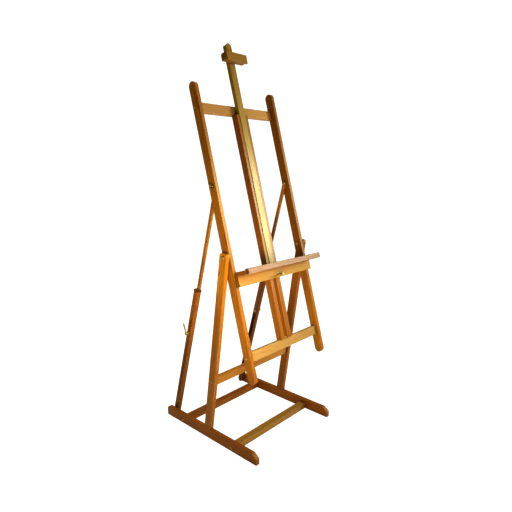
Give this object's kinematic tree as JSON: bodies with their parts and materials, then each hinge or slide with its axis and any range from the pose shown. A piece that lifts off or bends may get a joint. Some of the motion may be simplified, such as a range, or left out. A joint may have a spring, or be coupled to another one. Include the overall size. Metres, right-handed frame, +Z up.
{
  "type": "artist easel",
  "caption": "Wooden studio easel whose frame tilts from upright to level on two struts, with a sliding mast and a sliding tray for the canvas.",
  "frame": {"origin": "on the floor, in the middle of the base between the two feet", "axes": "+X to the easel's right seen from the front, +Y to its back, +Z up; the canvas faces -Y"},
  "size_m": [0.609, 0.69, 1.9927],
  "materials": {
    "oiled_wood": "satin, oiled, straight grain",
    "brass": "satin brass plate",
    "steel": "brushed",
    "dark_metal": "dark lacquer, satin"
  },
  "bodies": {
    "base": {"left_foot": "oiled_wood", "right_foot": "oiled_wood", "front_base_rail": "oiled_wood", "rear_base_rail": "oiled_wood", "left_upright": "oiled_wood", "right_upright": "oiled_wood", "upright_crossbar": "oiled_wood", "base_connector_bolts": "brass", "base_barrel_nuts": "brass", "pivot_bolts": "brass", "pivot_washers": "brass", "pivot_nuts": "brass", "strut_hinge_bolts": "brass", "strut_hinge_spacers": "brass"},
    "tilting_frame": {"left_side_rail": "oiled_wood", "right_side_rail": "oiled_wood", "top_crossbar": "oiled_wood", "lower_crossbar": "oiled_wood", "left_channel_strip": "oiled_wood", "right_channel_strip": "oiled_wood", "channel_dowels": "oiled_wood", "frame_connector_bolts": "brass", "frame_barrel_nuts": "brass", "slot_stop_pin": "brass", "wing_bolt_washers": "brass"},
    "mast_slider": {"mast": "oiled_wood", "head_block": "oiled_wood", "head_block_screws": "brass", "mast_clamp_bolt": "brass", "mast_clamp_plate": "steel"},
    "mast_clamp": {"mast_wing_nut": "brass"},
    "tray": {"tray_board": "oiled_wood", "tray_shelf": "oiled_wood", "tray_lip": "oiled_wood", "tray_dowels": "oiled_wood", "tray_clamp_bolt": "brass", "tray_clamp_plate": "steel", "tray_washer": "brass"},
    "tray_clamp": {"tray_wing_nut": "brass"},
    "left_strut_bar": {"left_strut": "oiled_wood", "left_strut_collar": "dark_metal"},
    "left_strut_slider": {"left_strut_rod": "oiled_wood", "left_clamp_bolt": "brass", "left_clamp_washer": "brass", "left_strut_top_bolt": "brass"},
    "left_lever": {"left_clamp_lever": "brass"},
    "left_wing": {"left_wing_bolt": "brass"},
    "right_strut_bar": {"right_strut": "oiled_wood", "right_strut_collar": "dark_metal"},
    "right_strut_slider": {"right_strut_rod": "oiled_wood", "right_clamp_bolt": "brass", "right_clamp_washer": "brass", "right_strut_top_bolt": "brass"},
    "right_lever": {"right_clamp_lever": "brass"},
    "right_wing": {"right_wing_bolt": "brass"}
  },
  "joints": [
    {"name": "frame_tilt", "type": "hinge", "parent": "base", "child": "tilting_frame", "pos_m": [0, -0.14156, 0.96685], "axis": [-1, 0, 0], "range_deg": [-15, 74.8]},
    {"name": "mast_slide", "type": "slide", "parent": "tilting_frame", "child": "mast_slider", "axis": [0, 0.2622, 0.965], "range_m": [-0.01, 0.6]},
    {"name": "mast_wing_turn", "type": "hinge", "parent": "mast_slider", "child": "mast_clamp", "pos_m": [0, -0.13972, 0.87827], "axis": [0, -0.965, 0.2622], "continuous": true},
    {"name": "tray_slide", "type": "slide", "parent": "tilting_frame", "child": "tray", "axis": [0, 0.2622, 0.965], "range_m": [-0.29, 0.005]},
    {"name": "tray_wing_turn", "type": "hinge", "parent": "tray", "child": "tray_clamp", "pos_m": [0, -0.2342, 0.85472], "axis": [0, -0.965, 0.2622], "continuous": true},
    {"name": "left_strut_swing", "type": "hinge", "parent": "base", "child": "left_strut_bar", "pos_m": [-0.2563, 0.309, 0.031], "axis": [1, 0, 0], "range_deg": [-11.85, 2.5]},
    {"name": "left_strut_slide", "type": "slide", "parent": "left_strut_bar", "child": "left_strut_slider", "axis": [0, -0.2757, 0.9612], "range_m": [-0.364, 0.0737]},
    {"name": "left_lever_turn", "type": "hinge", "parent": "left_strut_slider", "child": "left_lever", "pos_m": [-0.275, 0.1684, 0.52124], "axis": [1, 0, 0], "range_deg": [-90, 60]},
    {"name": "left_wing_turn", "type": "hinge", "parent": "tilting_frame", "child": "left_wing", "pos_m": [-0.284, -0.05294, 1.29303], "axis": [1, 0, 0], "continuous": true},
    {"name": "right_strut_swing", "type": "hinge", "parent": "base", "child": "right_strut_bar", "pos_m": [0.2563, 0.309, 0.031], "axis": [1, 0, 0], "range_deg": [-11.85, 2.5]},
    {"name": "right_strut_slide", "type": "slide", "parent": "right_strut_bar", "child": "right_strut_slider", "axis": [0, -0.2757, 0.9612], "range_m": [-0.364, 0.0737]},
    {"name": "right_lever_turn", "type": "hinge", "parent": "right_strut_slider", "child": "right_lever", "pos_m": [0.275, 0.1684, 0.52124], "axis": [1, 0, 0], "range_deg": [-90, 60]},
    {"name": "right_wing_turn", "type": "hinge", "parent": "tilting_frame", "child": "right_wing", "pos_m": [0.284, -0.05294, 1.29303], "axis": [1, 0, 0], "continuous": true}
  ],
  "couplings": [
    {"joint": "left_strut_swing", "follows": "frame_tilt", "ratio": -0.155},
    {"joint": "left_strut_slide", "follows": "frame_tilt", "m_per_rad": -0.27788},
    {"joint": "right_strut_swing", "follows": "frame_tilt", "ratio": -0.155},
    {"joint": "right_strut_slide", "follows": "frame_tilt", "m_per_rad": -0.27788}
  ]
}
